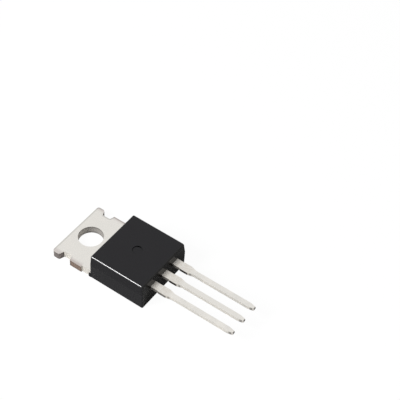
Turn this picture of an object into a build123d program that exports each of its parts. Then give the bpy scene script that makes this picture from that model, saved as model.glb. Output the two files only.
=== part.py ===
from build123d import *

import os
from math import pi, radians, sin, tan

# Dual rectifier in a flat three-lead power package: two dies with a common cathode tab.
#
# A thick tin-plated copper tab carries both dies and runs on, set up to the lead plane, as the centre
# lead. The two outer leads are the anodes. Aluminium wires join each die to its anode, and an epoxy
# moulding locks everything together.
#
# Frame: the origin is the centre of the mounting hole on the back of the tab, +Z comes out of the
# front, +Y runs to the free end of the tab, and the leads point along -Y. All sizes are millimetres.

# Mounting tab, along Y from its free end to the moulding
tab_thickness = 1.3
tab_width = 10.24  # over the two sheared tie bars
ear_width = 10.46  # over the two ears at the free end
tab_neck_width = 9.8  # between the tie bars and the moulding
hole_diameter = 3.78
hole_to_tab_end = 2.82
ear_length = 1.2
ear_heel = 0.3  # how far the ear's inner flank leans towards the notch floor
notch_depth = 0.76
notch_floor_length = 1.35
notch_ramp_length = 0.25
tie_bar_length = 2.07
notch_radius = 0.25
die_roll_width = 0.28  # how far the press rolls the tab's front edges over
die_roll_depth = 0.1
front_corner_radius = 0.08  # corners of the flat that stays inside the roll

# Die pad, the part of the tab inside the moulding
pad_side_cover = 0.55  # plastic beside the pad
pad_lock_step = 0.4  # coined ledge along each side of the pad's back
pad_lock_height = 0.7
pad_length = 5.8  # from the moulding's foot to the pad's inner end
pad_corner_radius = 0.12
neck_into_moulding = 0.25
lock_groove_width = 0.4
lock_groove_depth = 0.2
lock_groove_inset = 0.75  # from the moulding's foot to the groove's middle

# Leads
lead_pitch = 2.54
lead_thickness = 0.5
lead_plane_height = 2.52  # back of the leads above the back of the tab
lead_wide_width = 1.2
lead_narrow_width = 0.8
lead_length = 13.5  # from the moulding to the tip
lead_wide_length = 2.62
lead_shoulder_length = 0.8
lead_tip_length = 0.9
lead_tip_width = 0.42
lead_tip_bevel = 0.12
dam_bar_distance = 1.27  # from the moulding to the sheared dam bar
dam_bar_width = 1.25
dam_bar_stub = 0.05  # what the shear leaves standing on each side of a lead

# Set-up of the centre lead, between the pad and the lead plane
set_up_neck_width = 2.2
set_up_start = 0.35
set_up_run = 1.35
set_up_bend_radius = 0.4  # at the middle of the strip
centre_lead_root = 0.6  # overlap of the strip with the pad, which are one piece of metal

# Bond posts of the outer leads
post_width = 2.4
post_length = 1.45
post_to_wall = 0.9  # plastic between a post and the moulding's lead-side face
post_corner_radius = 0.2

# Moulding
moulding_width = 10.1  # at the parting plane
moulding_length = 9.4  # at the parting plane, from the foot of the tab-side face
hole_to_moulding = 3.82  # to the foot of the tab-side face
cover_over_leads = 1.46  # plastic above the lead plane
base_draft = 1.0  # degrees, below the parting plane
side_draft = 5.0  # degrees, above the parting plane
tab_side_draft = 2.2  # degrees
lead_side_draft = 5.0  # degrees, above the parting plane
moulding_edge_radius = 0.2
lead_side_round = 0.35  # larger rounding along the top of the lead-side face
wing_length = 0.18  # plastic that fills the lock ledges in front of the tab-side face
ejector_mark_diameter = 1.5
ejector_mark_depth = 0.12

# Dies, solder and wires
die_width = 2.4
die_length = 3.1
die_thickness = 0.28
die_to_pad_end = 0.9
solder_thickness = 0.06
solder_margin = 0.1
wire_diameter = 0.38
wire_pitch = 1.0
wire_foot_width = 0.52
wire_foot_height = 0.26
wire_foot_length = 0.8
wire_cover = 0.8  # plastic above the middle of a wire's loop
wire_shoulder = 0.2  # run of a wire from its foot to where the loop starts
wire_loop_runs = 6

# Heights
lead_top = lead_plane_height + lead_thickness
lead_middle = lead_plane_height + lead_thickness / 2
moulding_height = lead_top + cover_over_leads
die_bottom = tab_thickness + solder_thickness
die_top = die_bottom + die_thickness

# Stations along Y
tab_end_y = hole_to_tab_end
ear_end_y = tab_end_y - ear_length
notch_start_y = ear_end_y - ear_heel
notch_end_y = notch_start_y - notch_floor_length
tie_bar_y = notch_end_y - notch_ramp_length
tie_bar_end_y = tie_bar_y - tie_bar_length
foot_y = -hole_to_moulding
pad_end_y = foot_y - pad_length
exit_y = foot_y - moulding_length
tip_y = exit_y - lead_length
post_front_y = exit_y + post_to_wall
post_back_y = post_front_y + post_length
die_middle_y = pad_end_y + die_to_pad_end + die_length / 2

# Widths and corners of the tab, the pad and the moulding
tab_corner_radius = front_corner_radius + die_roll_width
base_width = moulding_width - 2 * lead_middle * tan(radians(base_draft))
top_width = moulding_width - 2 * (moulding_height - lead_middle) * tan(radians(side_draft))
pad_width = base_width - 2 * pad_side_cover
pad_back_width = pad_width - 2 * pad_lock_step


def lead_outline(root_y):
    """Right half of a lead in plan, from its tip to root_y, with the stub of the dam bar."""
    wide = lead_wide_width / 2
    narrow = lead_narrow_width / 2
    stub = wide + dam_bar_stub
    shoulder_y = exit_y - lead_wide_length
    dam_y = exit_y - dam_bar_distance
    return [
        (0, tip_y),
        (lead_tip_width / 2, tip_y),
        (narrow, tip_y + lead_tip_length),
        (narrow, shoulder_y - lead_shoulder_length),
        (wide, shoulder_y),
        (wide, dam_y - dam_bar_width),
        (stub, dam_y - dam_bar_width),
        (stub, dam_y),
        (wide, dam_y),
        (wide, root_y),
        (0, root_y),
    ]


def tip_edges(part):
    """The two long edges of a lead's end face."""
    return part.edges().filter_by(Axis.X).group_by(Axis.Y)[0]


# Tab and centre lead, stamped from one strip with a thick and a thin part. The lead is its side view
# drawn through the strip's width, cut to its outline in plan. The tab is added to it.
strip_middle = tab_thickness - lead_thickness / 2
set_up_start_y = pad_end_y - set_up_start
set_up_end_y = set_up_start_y - set_up_run

with BuildPart() as tab_and_centre_lead:
    with BuildSketch(Plane.YZ):
        with BuildLine():
            FilletPolyline(
                (pad_end_y + centre_lead_root, strip_middle),
                (set_up_start_y, strip_middle),
                (set_up_end_y, lead_middle),
                (tip_y, lead_middle),
                radius=set_up_bend_radius,
            )
        trace(line_width=lead_thickness)
    extrude(amount=set_up_neck_width, both=True)
    with BuildSketch(Plane.XY):
        with BuildLine() as centre_outline:
            Polyline(
                *lead_outline(set_up_end_y)[:-1],
                (set_up_neck_width / 2, set_up_start_y),
                (set_up_neck_width / 2, pad_end_y + centre_lead_root),
                (0, pad_end_y + centre_lead_root),
            )
            mirror(about=Plane.YZ)
        make_face()
    extrude(amount=moulding_height, mode=Mode.INTERSECT)
    chamfer(tip_edges(tab_and_centre_lead), lead_tip_bevel)

    with BuildSketch(Plane.XY):
        with BuildLine() as tab_outline:
            FilletPolyline(
                (0, tab_end_y),
                (ear_width / 2, tab_end_y),
                (ear_width / 2, ear_end_y),
                (tab_width / 2 - notch_depth, notch_start_y),
                (tab_width / 2 - notch_depth, notch_end_y),
                (tab_width / 2, tie_bar_y),
                (tab_width / 2, tie_bar_end_y),
                (tab_neck_width / 2, tie_bar_end_y),
                (tab_neck_width / 2, foot_y - neck_into_moulding),
                (pad_width / 2, foot_y - neck_into_moulding),
                (pad_width / 2, pad_end_y),
                (0, pad_end_y),
                radius=(
                    tab_corner_radius,
                    tab_corner_radius,
                    notch_radius,
                    notch_radius,
                    0,
                    0,
                    0,
                    0,
                    0,
                    pad_corner_radius,
                ),
            )
            mirror(about=Plane.YZ)
        make_face()
    extrude(amount=tab_thickness)
    tab_front = tab_and_centre_lead.faces(Select.LAST).sort_by(Axis.Z)[-1]
    rolled_edges = tab_front.edges().filter_by_position(Axis.Y, tie_bar_end_y, tab_end_y, (False, True))
    chamfer(rolled_edges, die_roll_width, die_roll_depth, reference=tab_front)

    with BuildSketch(Plane.XY):
        Circle(hole_diameter / 2)
    extrude(amount=tab_thickness, mode=Mode.SUBTRACT)

    # ledges coined along both sides of the pad's back, which the plastic grips from below
    ledge_length = pad_length + wing_length
    ledge_middle_y = foot_y + wing_length - ledge_length / 2
    with BuildSketch(Plane.XY):
        for side in (-1, 1):
            with Locations((side * (pad_back_width + tab_neck_width) / 4, ledge_middle_y)):
                Rectangle((tab_neck_width - pad_back_width) / 2, ledge_length)
    extrude(amount=pad_lock_height, mode=Mode.SUBTRACT)

    # groove across the pad's front, just inside the moulding
    with BuildSketch(Plane.YZ) as groove:
        with BuildLine():
            Polyline(
                (foot_y - lock_groove_inset - lock_groove_width / 2, tab_thickness),
                (foot_y - lock_groove_inset, tab_thickness - lock_groove_depth),
                (foot_y - lock_groove_inset + lock_groove_width / 2, tab_thickness),
                close=True,
            )
        make_face()
    extrude(amount=tab_width, both=True, mode=Mode.SUBTRACT)
tab_and_centre_lead.part.label = "tab_and_centre_lead"


# Outer leads, one outline mirrored about the lead's own middle, with the bond post inside the plastic
def make_anode_lead(x, label):
    with BuildPart() as lead:
        with BuildSketch(Plane((x, 0, lead_plane_height))) as outline:
            with BuildLine():
                Polyline(
                    *lead_outline(post_front_y)[:-1],
                    (post_width / 2, post_front_y),
                    (post_width / 2, post_back_y),
                    (0, post_back_y),
                )
                mirror(about=Plane.YZ)
            make_face()
            fillet(outline.vertices().group_by(Axis.Y)[-1], post_corner_radius)
        extrude(amount=lead_thickness)
        chamfer(tip_edges(lead), lead_tip_bevel)
    lead.part.label = label
    return lead


anode_leads = [
    make_anode_lead(-lead_pitch, "anode_lead_left"),
    make_anode_lead(lead_pitch, "anode_lead_right"),
]


# Dies, each soldered to the pad in line with its anode lead
def make_die(x, label):
    with BuildPart() as die:
        with BuildSketch(Plane((x, die_middle_y, die_bottom))):
            Rectangle(die_width, die_length)
        extrude(amount=die_thickness)
    die.part.label = label
    return die


def make_solder(x, label):
    with BuildPart() as solder:
        with BuildSketch(Plane((x, die_middle_y, tab_thickness))):
            RectangleRounded(die_width + 2 * solder_margin, die_length + 2 * solder_margin, solder_margin)
        extrude(amount=solder_thickness)
    solder.part.label = label
    return solder


dies = [make_die(-lead_pitch, "die_left"), make_die(lead_pitch, "die_right")]
solders = [make_solder(-lead_pitch, "die_solder_left"), make_solder(lead_pitch, "die_solder_right")]

# Bond wires, each one round wire with a wedge-shaped foot pressed flat at both ends
loop_z = moulding_height - wire_cover - wire_diameter / 2
post_middle_y = (post_front_y + post_back_y) / 2
die_foot_z = die_top + wire_diameter / 2
post_foot_z = lead_top + wire_diameter / 2
climb_y = die_middle_y - wire_foot_length / 2 - wire_shoulder
land_y = post_middle_y + wire_foot_length / 2 + wire_shoulder


def loop_points():
    """The loop in side view: a sine arch between the two feet, as short straight runs."""
    rise = loop_z - (die_foot_z + post_foot_z) / 2
    points = []
    for step in range(wire_loop_runs + 1):
        share = step / wire_loop_runs
        points.append(
            (
                climb_y + share * (land_y - climb_y),
                die_foot_z + share * (post_foot_z - die_foot_z) + rise * sin(pi * share),
            )
        )
    return points


def make_wire(x, label):
    with BuildPart() as wire:
        with BuildSketch(Plane((x, die_middle_y, die_top))):
            Rectangle(wire_foot_width, wire_foot_length)
        extrude(amount=wire_foot_height)
        with BuildSketch(Plane((x, post_middle_y, lead_top))):
            Rectangle(wire_foot_width, wire_foot_length)
        extrude(amount=wire_foot_height)
        with BuildLine(Plane.YZ.offset(x)) as loop:
            Polyline((die_middle_y, die_foot_z), *loop_points(), (post_middle_y, post_foot_z))
        with BuildSketch(Plane(loop.line @ 0, z_dir=loop.line % 0)):
            Circle(wire_diameter / 2)
        sweep(transition=Transition.RIGHT)
    wire.part.label = label
    return wire


wires = [
    make_wire(side * lead_pitch + step * wire_pitch / 2, f"bond_wire_{side_name}_{step_name}")
    for side, side_name in ((-1, "left"), (1, "right"))
    for step, step_name in ((-side, "inner"), (side, "outer"))
]

# Moulding: its side view drawn through its width, cut to its end view, with everything it
# surrounds taken out of it
half_pad_back = pad_back_width / 2
half_moulding = moulding_width / 2

with BuildPart() as moulded_body:
    with BuildSketch(Plane.YZ):
        with BuildLine() as side_view:
            FilletPolyline(
                (foot_y, 0),
                (foot_y - moulding_height * tan(radians(tab_side_draft)), moulding_height),
                (exit_y + (moulding_height - lead_middle) * tan(radians(lead_side_draft)), moulding_height),
                (exit_y, lead_middle),
                (exit_y + lead_middle * tan(radians(base_draft)), 0),
                radius=(0, lead_side_round, 0),
            )
            Line(side_view.line @ 1, side_view.line @ 0)
        make_face()
    extrude(amount=moulding_width, both=True)
    with BuildSketch(Plane.XZ):
        with BuildLine():
            Polyline(
                (-base_width / 2, 0),
                (-moulding_width / 2, lead_middle),
                (-top_width / 2, moulding_height),
                (top_width / 2, moulding_height),
                (moulding_width / 2, lead_middle),
                (base_width / 2, 0),
                close=True,
            )
        make_face()
    extrude(amount=-2 * tip_y, both=True, mode=Mode.INTERSECT)
    corner_edges = moulded_body.edges().filter_by(lambda edge: abs((edge % 0.5).Z) > 0.5)
    top_edges = moulded_body.faces().sort_by(Axis.Z)[-1].edges().sort_by(Axis.Y)[1:]
    fillet(corner_edges + top_edges, moulding_edge_radius)

    top_middle_y = moulded_body.faces().sort_by(Axis.Z)[-1].center().Y
    with BuildSketch(Plane((0, top_middle_y, moulding_height))):
        Circle(ejector_mark_diameter / 2)
    extrude(amount=-ejector_mark_depth, mode=Mode.SUBTRACT)

    with BuildSketch(Plane.XY):
        for side in (-1, 1):
            with Locations((side * (half_pad_back + half_moulding) / 2, foot_y)):
                Rectangle(half_moulding - half_pad_back, 2 * wing_length)
    extrude(amount=pad_lock_height)

    for inner in (tab_and_centre_lead, *anode_leads, *dies, *solders, *wires):
        add(inner.part, mode=Mode.SUBTRACT)
moulded_body.part.label = "moulded_body"

os.makedirs("parts", exist_ok=True)
for piece in (tab_and_centre_lead, *anode_leads, *dies, *solders, *wires, moulded_body):
    export_step(piece.part, f"parts/{piece.part.label}.step")
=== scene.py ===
import math

import bpy
from mathutils import Matrix, Vector


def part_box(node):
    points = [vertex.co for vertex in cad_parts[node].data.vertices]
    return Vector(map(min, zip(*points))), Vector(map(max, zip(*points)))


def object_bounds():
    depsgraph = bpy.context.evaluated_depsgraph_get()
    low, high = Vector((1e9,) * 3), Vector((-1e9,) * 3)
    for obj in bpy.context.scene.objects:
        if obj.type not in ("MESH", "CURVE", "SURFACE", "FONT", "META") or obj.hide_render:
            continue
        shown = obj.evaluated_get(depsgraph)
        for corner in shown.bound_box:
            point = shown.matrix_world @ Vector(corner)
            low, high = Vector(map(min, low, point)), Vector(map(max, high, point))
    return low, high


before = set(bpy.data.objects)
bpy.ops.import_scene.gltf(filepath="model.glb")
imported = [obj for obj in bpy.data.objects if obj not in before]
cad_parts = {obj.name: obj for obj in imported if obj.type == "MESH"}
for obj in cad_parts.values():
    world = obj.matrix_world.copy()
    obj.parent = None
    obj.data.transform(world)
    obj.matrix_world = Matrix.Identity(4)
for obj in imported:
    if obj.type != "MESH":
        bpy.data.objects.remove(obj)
cad_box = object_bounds()

# A dual rectifier in a flat three-lead power package, lying on its back on a white table.
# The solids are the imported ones. This script gives them their finishes, and sets the studio and the
# camera. Names that end in _mm and places on a piece are in millimetres, and other lengths in metres.

MM = 0.001

# X runs across the part, Y from the tips of its leads to the free end of its tab, and Z up from its back
tab_low, tab_high = (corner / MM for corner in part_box("tab_and_centre_lead"))
body_low, body_high = (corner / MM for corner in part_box("moulded_body"))
lead_pitch_mm = 2.54

# The tab: its top, its ears, the stubs of its tie bars, its fallen edges, sheared sides, hole and burrs,
# and painted shade on the fallen edges and in the hole
tab_end_mm = tab_high.y
tab_top_mm = 1.3
ear_start_mm = tab_end_mm - 1.5
ear_side_mm = 4.45
tie_bar_mm = (tab_end_mm - 5.17, tab_end_mm - 3.1)
tie_bar_side_mm = 5.0
fallen_edge_mm = (4.35, 5.05)
fallen_depth_mm = 0.12
sheared_top_mm = 1.15
sheared_fade_mm = 0.08
thinned_width_mm = 0.25
hole_reach_mm = 1.975
hole_burr_mm = 0.45
upright_burr_mm = 0.25
level_burr_mm = 0.2

# The leads: where they leave the moulding, where a painted dark reflection of the moulding lies on their
# roots, what heat reached, and where they were cut
lead_exit_mm = body_low.y
lead_inside_mm = lead_exit_mm + 0.2
root_mm = (lead_exit_mm - 0.7, lead_inside_mm)
root_reflection_mm = (lead_exit_mm - 1.2, lead_inside_mm)
tinted_mm = (lead_exit_mm - 2.9, lead_inside_mm)
dam_bar_mm = (lead_exit_mm - 2.53, lead_exit_mm - 1.26)
dam_bar_side_mm = 0.62
nick_mm = (lead_exit_mm - 3.1, lead_exit_mm - 2.8)
lead_top_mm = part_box("anode_lead_left")[1].z / MM
burr_top_mm = (lead_top_mm - 0.1, lead_top_mm - 0.04)
lead_tip_mm = tab_low.y
tip_burr_mm = (lead_tip_mm + 0.02, lead_tip_mm + 0.12)
crop_mm = (lead_tip_mm + 0.22, lead_tip_mm + 0.62)

# The ejector mark in the top of the moulding, and the side of its wall that gets painted shade
mark_middle_mm = (body_low.y + body_high.y) / 2 - 0.04
mark_reach_mm = 0.775
mark_rim_mm = body_high.z - 0.01
shade_towards = (0.94, 0.35)
shade_from_mm = 0.65

# How far a face looks along an axis, from 0 to 1 or down to -1, which tells the kinds of face apart
LEAD_SIDE = 0.7
LEAD_END = -0.4
WALL = 0.5
WORKED = (0.8, 0.97)
ROLLED_OVER = (0.92, 0.97)
LEAD_FACE = -0.985
LEAD_EDGE = (-0.96, -0.4)
BEYOND_LEAD_EDGE = (-0.4, -0.15)
ABOVE = 0.1
ROUNDED = (0.22, 0.93)


class Socket:
    """One output of a node. Arithmetic on it adds Math nodes, so masks are written as expressions."""

    def __init__(self, finish, output):
        self.finish = finish
        self.output = output

    def beside(self, output):
        """Another output of the same node."""
        return Socket(self.finish, self.output.node.outputs[output])

    def math(self, operation, first, second=0.0):
        return self.finish.node("ShaderNodeMath", {"operation": operation}, {0: first, 1: second})

    def __add__(self, other):
        return self.math("ADD", self, other)

    def __sub__(self, other):
        return self.math("SUBTRACT", self, other)

    def __rsub__(self, other):
        return self.math("SUBTRACT", other, self)

    def __mul__(self, other):
        return self.math("MULTIPLY", self, other)

    def __abs__(self):
        return self.math("ABSOLUTE", self)

    def __gt__(self, other):
        return self.math("GREATER_THAN", self, other)

    def __lt__(self, other):
        return self.math("LESS_THAN", self, other)

    __radd__ = __add__
    __rmul__ = __mul__


class Finish:
    """The nodes of a material, or of the world."""

    def __init__(self, owner):
        owner.use_nodes = True
        self.owner = owner
        self.tree = owner.node_tree
        self.tree.nodes.clear()

    def node(self, kind, settings=None, inputs=None, output=0):
        """Adds a node, sets it up, fills its sockets with values or links, and gives one output."""
        made = self.tree.nodes.new(kind)
        for name, value in (settings or {}).items():
            setattr(made, name, value)
        for name, value in (inputs or {}).items():
            if isinstance(value, Socket):
                self.tree.links.new(value.output, made.inputs[name])
            else:
                made.inputs[name].default_value = value
        return Socket(self, made.outputs[output]) if made.outputs else None

    def split(self, vector):
        x = self.node("ShaderNodeSeparateXYZ", inputs={0: vector}, output="X")
        return x, x.beside("Y"), x.beside("Z")

    def rays(self):
        """1 for rays straight from the camera, for mirrored ones, and for those through glass."""
        seen = self.node("ShaderNodeLightPath", output="Is Camera Ray")
        return seen, seen.beside("Is Glossy Ray"), seen.beside("Is Transmission Ray")

    def step(self, value, start, end):
        """0 before start and 1 after end, with a soft change between."""
        inputs = {"Value": value, "From Min": start, "From Max": end}
        return self.node("ShaderNodeMapRange", {"interpolation_type": "SMOOTHSTEP"}, inputs)

    def band(self, value, start, end, soft=0.02):
        """1 from start to end and 0 beyond, where soft is half the width of each change."""
        begun = self.step(value, start - soft, start + soft)
        ended = self.step(value, end - soft, end + soft)
        return begun * (1 - ended)

    def rim(self, value, start, end, width):
        """1 towards both ends of a range, 0 in its middle."""
        middle = (start + end) / 2
        half = (end - start) / 2
        return self.step(abs(value - middle), half - width, half)


class Skin(Finish):
    """The finish of a piece, painted by place in the part's own frame."""

    def __init__(self, name):
        super().__init__(bpy.data.materials.new(name))
        inputs = {0: self.node("ShaderNodeTexCoord", output="Object"), "Scale": 1 / MM}
        self.place = self.node("ShaderNodeVectorMath", {"operation": "SCALE"}, inputs)

    def facing(self):
        """The way that a face looks, in the part's own frame."""
        return self.split(self.node("ShaderNodeTexCoord", output="Normal"))

    def noise(self, stretch, detail=3.0):
        """Noise from about 0 to 1, with its own number of grains per millimetre along each axis."""
        grain = self.node("ShaderNodeVectorMath", {"operation": "MULTIPLY"}, {0: self.place, 1: stretch})
        inputs = {"Vector": grain, "Scale": 1.0, "Detail": detail, "Roughness": 0.55}
        return self.node("ShaderNodeTexNoise", {"normalize": True}, inputs, "Fac")

    def blend(self, factor, first, second):
        """A mix of two colours."""
        inputs = {"Factor": factor, 6: first, 7: second}
        return self.node("ShaderNodeMix", {"data_type": "RGBA", "clamp_factor": True}, inputs, 2)

    def ground(self, factor, first, second):
        """Starts the colour of the piece."""
        self.colour = self.blend(factor, first, second)

    def paint(self, mask, colour):
        """Lays another colour over what is there, where the mask is 1."""
        self.colour = self.blend(mask, self.colour, colour)

    def bump(self, height, depth_mm, strength=1.0, over=None):
        """A normal for relief of that depth, laid over another bump's where one is given."""
        inputs = {"Height": height, "Distance": depth_mm * MM, "Strength": strength}
        if over is not None:
            inputs["Normal"] = over
        return self.node("ShaderNodeBump", {}, inputs)

    def surface(self, inputs):
        """Ends the finish with its shader, and returns the material."""
        shader = self.node("ShaderNodeBsdfPrincipled", {}, {"Base Color": self.colour} | inputs)
        self.node("ShaderNodeOutputMaterial", {}, {"Surface": shader})
        return self.owner


TIN = (0.882, 0.852, 0.80, 1.0)
TIN_SHADE = (0.755, 0.74, 0.704, 1.0)
TIN_TINTED = (0.71, 0.67, 0.612, 1.0)
TIN_FALLEN_SHADE = (0.66, 0.61, 0.585, 1.0)
TIN_HOLE_SHADE = (0.425, 0.405, 0.38, 1.0)
COPPER = (0.47, 0.36, 0.30, 1.0)
COPPER_STAIN = (0.20, 0.155, 0.13, 1.0)
SMEARED = (0.42, 0.38, 0.365, 1.0)
SMEARED_STAIN = (0.22, 0.195, 0.185, 1.0)
# Burrs, and also painted shade and a painted dark reflection on the leads
BURR_AND_PAINTED_SHADE = (0.045, 0.038, 0.033, 1.0)


class TinPlate(Skin):
    """Satin tin plate over rolled copper, tinted near the moulding. Each piece adds its own cuts."""

    def __init__(self, name, contrast, grain_scale, roll_scale):
        super().__init__(name)
        self.x, self.y, self.z = self.split(self.place)
        self.nx, self.ny, self.nz = self.facing()
        cloud = self.noise((0.5, 0.5, 0.5))
        self.grain = self.noise((grain_scale,) * 3, detail=4.0)
        self.rolled = self.noise((roll_scale, 0.7, 9.0))
        mottle = cloud * 0.45 + self.grain * 0.3 + self.rolled * 0.35
        mean = 0.55
        self.ground((mottle - mean) * contrast + mean, TIN_SHADE, TIN)
        tinted = self.band(self.y, *tinted_mm, soft=0.5) * self.step(self.grain, 0.35, 0.6)
        self.paint(0.8 * tinted, TIN_TINTED)
        self.normal = self.bump(self.grain * 0.6 + self.rolled * 0.4, 0.006)

    def finished(self, metallic=1.0):
        """Rougher on worked sides and at the leads' roots, and smoother where the plate rolls over."""
        tilt = abs(self.nz)
        worked = 1 - self.step(tilt, *WORKED)
        rolled_over = self.band(tilt, *ROLLED_OVER, soft=0.015)
        root = self.band(self.y, *root_mm, soft=0.15)
        satin = 0.21 + 0.12 * self.grain + 0.06 * self.rolled
        rough = satin + 0.44 * worked + 0.25 * root - 0.18 * rolled_over
        return self.surface({"Metallic": metallic, "Roughness": rough, "Normal": self.normal})


def lead_burrs_and_painted_shade(tin, middle_mm, dam_bar_shade=1.0):
    """Burrs at a lead's nicks and its cropped tip, painted shade on its dam bar's cut sides, and a
    painted dark reflection of the moulding on its root's sides.
    """
    side = abs(tin.nx) > LEAD_SIDE
    below_top = 1 - tin.step(tin.z, *burr_top_mm)
    widest = abs(tin.x - middle_mm) > dam_bar_side_mm
    # The dam bar's cut sides: dark bare copper, darkened further with painted shade
    dam_bar = tin.band(tin.y, *dam_bar_mm) * widest * side * below_top
    nick = tin.band(tin.y, *nick_mm, soft=0.05) * side
    tip = (1 - tin.step(tin.y, *tip_burr_mm)) * (tin.ny < LEAD_END)
    crop = tin.band(tin.y, *crop_mm, soft=0.08) * side
    # A painted dark reflection of the moulding on the sides of the lead's root
    root_reflection = tin.band(tin.y, *root_reflection_mm, soft=0.08) * side
    return dam_bar_shade * dam_bar + 0.4 * nick + 0.75 * tip + 0.5 * crop + 0.65 * root_reflection


def anode_lead_finish(name, middle_mm, dam_bar_shade=1.0):
    tin = TinPlate(name, contrast=3.5, grain_scale=3.0, roll_scale=22.0)
    # Burrs, painted shade on the dam bar's cut and a painted dark reflection at the root
    tin.paint(lead_burrs_and_painted_shade(tin, middle_mm, dam_bar_shade), BURR_AND_PAINTED_SHADE)
    return tin.finished()


def tab_finish():
    tin = TinPlate("tin_plated_tab", contrast=1.0, grain_scale=5.0, roll_scale=16.0)
    off = abs(tin.x)
    wall = abs(tin.nz) < WALL

    # The wall of the punched hole, with painted shade that is darker where it looks towards -X
    hole = (tin.x * tin.x + tin.y * tin.y < hole_reach_mm**2) * wall
    tin.paint(hole, tin.blend(tin.step(tin.nx, -0.8, -0.15), TIN_HOLE_SHADE, TIN))
    hole_rim = hole * tin.rim(tin.z, 0.0, tab_top_mm, hole_burr_mm)

    # The top, where it falls away towards the ears' and the tie bars' sheared sides, darkened with
    # painted shade
    fallen = tin.step(off, *fallen_edge_mm) * (tin.z > tab_top_mm - fallen_depth_mm)
    tin.paint(0.9 * fallen * (tin.y > tie_bar_mm[0]), TIN_FALLEN_SHADE)

    # Sheared sides: bare copper on the tie bars, fading over their top edge, and smeared on the ears
    above_cut = tin.step(tin.z, sheared_top_mm - sheared_fade_mm, sheared_top_mm)
    sheared = wall * (1 - above_cut)
    along_tie_bar = tin.band(tin.y, *tie_bar_mm)
    tie_bar = along_tie_bar * (off > tie_bar_side_mm) * sheared
    near_side = tin.step(off, tie_bar_side_mm - thinned_width_mm, tie_bar_side_mm)
    bare = tie_bar + 0.25 * along_tie_bar * near_side * above_cut
    ear = tin.band(tin.y, ear_start_mm, tab_end_mm - 0.05) * (off > ear_side_mm) * sheared
    drag = tin.noise((7.0, 7.0, 0.8), detail=4.0)
    tin.paint(bare, tin.blend(drag, COPPER_STAIN, COPPER))
    tin.paint(ear, tin.blend(drag, SMEARED_STAIN, SMEARED))

    # Burrs round the sheared sides and the hole, and on the middle lead its burrs, painted shade and
    # painted dark reflection
    level_rim = tin.rim(tin.z, 0.0, sheared_top_mm, level_burr_mm)
    tie_bar_rim = tie_bar * (tin.rim(tin.y, *tie_bar_mm, upright_burr_mm) + level_rim)
    ear_rim = ear * (tin.rim(tin.y, ear_start_mm, tab_end_mm, upright_burr_mm) + level_rim)
    rims = 0.5 * tie_bar_rim + 0.55 * ear_rim + 0.4 * hole_rim
    tin.paint(lead_burrs_and_painted_shade(tin, 0.0) + rims, BURR_AND_PAINTED_SHADE)

    tin.normal = tin.bump(drag * (bare + ear), 0.03, strength=0.6, over=tin.normal)
    return tin.finished(metallic=1 - 0.5 * hole)


EPOXY = (0.0068, 0.0064, 0.0080, 1.0)
EPOXY_LIGHT = (0.0104, 0.0100, 0.0116, 1.0)
EPOXY_PAINTED_LIGHT = (0.0180, 0.0175, 0.0175, 1.0)
EPOXY_PAINTED_SHADE = (0.0042, 0.0032, 0.0025, 1.0)
MARK_SHADE = (0.004, 0.004, 0.004, 1.0)


def epoxy_finish():
    """Black moulding compound with a fine grain."""
    epoxy = Skin("black_epoxy")
    x, y, z = epoxy.split(epoxy.place)
    _, ny, nz = epoxy.facing()
    cloud = epoxy.noise((0.35, 0.35, 0.35))
    spark = epoxy.noise((22.0, 22.0, 22.0), detail=2.0)
    epoxy.ground(cloud * 0.7 + spark * 0.3, EPOXY, EPOXY_LIGHT)

    # The face that the leads come out of is polished and darkened with painted shade, and the rounded
    # edge above it is lightened with painted light
    lead_face = ny < LEAD_FACE
    lead_edge = epoxy.band(ny, *LEAD_EDGE, soft=0.05) * (nz > ABOVE)
    epoxy.paint(lead_face, EPOXY_PAINTED_SHADE)
    epoxy.paint(lead_edge, EPOXY_PAINTED_LIGHT)

    # Painted shade on one side of the ejector mark's wall
    from_middle = y - mark_middle_mm
    in_mark = (x * x + from_middle * from_middle < mark_reach_mm**2) * (z < mark_rim_mm)
    mark_shade = (shade_towards[0] * x + shade_towards[1] * from_middle > shade_from_mm) * in_mark
    epoxy.paint(mark_shade, MARK_SHADE)

    # The other rounded edges are glossy
    other_edges = epoxy.band(abs(nz), *ROUNDED, soft=0.06) * epoxy.step(ny, *BEYOND_LEAD_EDGE)
    return epoxy.surface({
        "Metallic": mark_shade,
        "Roughness": 0.36 + 0.08 * spark - 0.14 * other_edges - 0.2 * lead_face,
        "Specular IOR Level": 0.235,
        "Coat Weight": other_edges,
        "Coat Roughness": 0.35,
        "Coat IOR": 2.0,
        "Normal": epoxy.bump(spark, 0.008, strength=0.7),
    })


def plain_finish(name, dark, light, metallic, rough, stretch):
    """A sealed piece's finish: two tones over a grain."""
    skin = Skin(name)
    grain = skin.noise(stretch)
    skin.ground(grain, dark, light)
    return skin.surface({
        "Metallic": metallic,
        "Roughness": rough + 0.1 * grain,
        "Normal": skin.bump(grain, 0.004),
    })


silicon = plain_finish(
    "silicon", dark=(0.10, 0.11, 0.14, 1.0), light=(0.20, 0.21, 0.26, 1.0),
    metallic=0.4, rough=0.12, stretch=(3.0, 3.0, 3.0),
)
solder = plain_finish(
    "solder", dark=(0.42, 0.42, 0.42, 1.0), light=(0.60, 0.60, 0.59, 1.0),
    metallic=1.0, rough=0.35, stretch=(6.0, 6.0, 6.0),
)
wire = plain_finish(
    "bond_wire_aluminium", dark=(0.70, 0.70, 0.71, 1.0), light=(0.86, 0.86, 0.87, 1.0),
    metallic=1.0, rough=0.25, stretch=(14.0, 1.0, 14.0),
)

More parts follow.
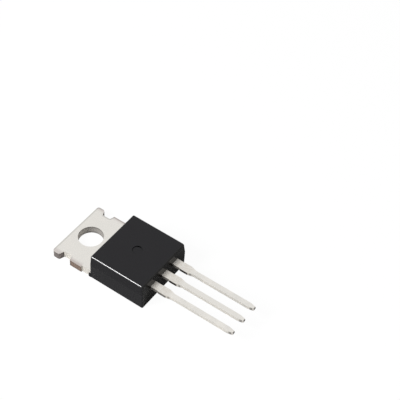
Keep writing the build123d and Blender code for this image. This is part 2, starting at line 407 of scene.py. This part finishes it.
finishes = {
    "tab_and_centre_lead": tab_finish(),
    "anode_lead_left": anode_lead_finish("tin_plated_lead_left", -lead_pitch_mm, dam_bar_shade=0.7),
    "anode_lead_right": anode_lead_finish("tin_plated_lead_right", lead_pitch_mm),
    "moulded_body": epoxy_finish(),
}
for side in ("left", "right"):
    finishes[f"die_{side}"] = silicon
    finishes[f"die_solder_{side}"] = solder
    for end in ("inner", "outer"):
        finishes[f"bond_wire_{side}_{end}"] = wire

for node_name, material in finishes.items():
    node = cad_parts[node_name]
    node.data.materials.clear()
    node.data.materials.append(material)


# Studio: a white table that keeps a faint shadow, a white room and one compact key light
WHITE = (1.0, 1.0, 1.0, 1.0)
TABLE_CARD = (0.41, 0.41, 0.41, 1.0)
TABLE_GLOW = 1.09
TABLE_RADIUS = 0.9
GLOW_SEEN = 0.88
GLOW_MIRRORED = 0.04
ROOM_LIGHT = 0.27
ROOM_MIRRORED_FLOOR = 0.55
ROOM_MIRRORED_RISE = 0.37
KEY_DIRECTION = (-0.656, 0.364, 0.661)
KEY_DISTANCE = 0.35
KEY_SIZE = (0.1, 0.16)
KEY_WATTS = 1.42

# Camera: its bearing round the part, its height angle and its tilt in degrees, and what it looks at
BEARING = -57.101
HEIGHT_ANGLE = 47.847
TILT = 3.473
target_mm = (14.919, -8.737, 2.0)
distance_mm = 175.374
focal_length_mm = 106.127
sensor_width_mm = 36.0


def white_table():
    """A grey card to the light and in reflections, and nearly all glow as seen, with a faint shadow."""
    bpy.ops.mesh.primitive_circle_add(
        vertices=96, radius=TABLE_RADIUS, fill_type="NGON", location=(0, 0, cad_box[0].z)
    )
    table = bpy.context.object
    table.name = "table"
    top = Finish(bpy.data.materials.new("white_table"))
    seen, mirrored, through = top.rays()
    share = seen * GLOW_SEEN + mirrored * GLOW_MIRRORED + through * GLOW_SEEN
    card = top.node("ShaderNodeBsdfDiffuse", {}, {"Color": TABLE_CARD})
    glow = top.node("ShaderNodeEmission", {}, {"Color": WHITE, "Strength": TABLE_GLOW})
    mixed = top.node("ShaderNodeMixShader", {}, {0: share, 1: card, 2: glow})
    top.node("ShaderNodeOutputMaterial", {}, {"Surface": mixed})
    table.data.materials.append(top.owner)


def white_room():
    """White as seen, dimmer towards the floor where it is mirrored, and a soft light on the part."""
    room = Finish(bpy.data.worlds.new("white_room"))
    bpy.context.scene.world = room.owner
    seen, mirrored, through = room.rays()
    height = room.split(room.node("ShaderNodeTexCoord", output="Generated"))[2]
    wall = ROOM_MIRRORED_FLOOR + ROOM_MIRRORED_RISE * room.step(height, -0.05, 0.65)
    white = seen + through
    strength = white + mirrored * wall + (1 - white - mirrored) * ROOM_LIGHT
    background = room.node("ShaderNodeBackground", {}, {"Color": WHITE, "Strength": strength})
    room.node("ShaderNodeOutputWorld", {}, {"Surface": background})


def key_light():
    """A lamp up on the left, towards the tab's free end, that looks at the middle of the part."""
    data = bpy.data.lights.new("key", "AREA")
    data.shape = "RECTANGLE"
    data.size, data.size_y = KEY_SIZE
    data.energy = KEY_WATTS
    lamp = bpy.data.objects.new("key", data)
    bpy.context.scene.collection.objects.link(lamp)
    away = Vector(KEY_DIRECTION).normalized()
    lamp.location = (cad_box[0] + cad_box[1]) / 2 + away * KEY_DISTANCE
    lamp.rotation_mode = "QUATERNION"
    lamp.rotation_quaternion = away.to_track_quat("Z", "Y")


def camera():
    azimuth, elevation, roll = (math.radians(angle) for angle in (BEARING, HEIGHT_ANGLE, TILT))
    back = Vector((
        math.sin(azimuth) * math.cos(elevation),
        -math.cos(azimuth) * math.cos(elevation),
        math.sin(elevation),
    ))
    right = Vector((math.cos(azimuth), math.sin(azimuth), 0))
    tilted_right = math.cos(roll) * right + math.sin(roll) * back.cross(right)
    tilted_up = back.cross(tilted_right)
    data = bpy.data.cameras.new("camera")
    data.sensor_width = sensor_width_mm
    data.lens = focal_length_mm
    data.clip_start, data.clip_end = 0.01, 10.0
    viewer = bpy.data.objects.new("camera", data)
    bpy.context.scene.collection.objects.link(viewer)
    axes = Matrix((tilted_right, tilted_up, back)).transposed().to_4x4()
    place = (Vector(target_mm) + back * distance_mm) * MM
    viewer.matrix_world = Matrix.Translation(place) @ axes
    bpy.context.scene.camera = viewer


white_table()
white_room()
key_light()
camera()
bpy.context.scene.view_settings.view_transform = "Standard"
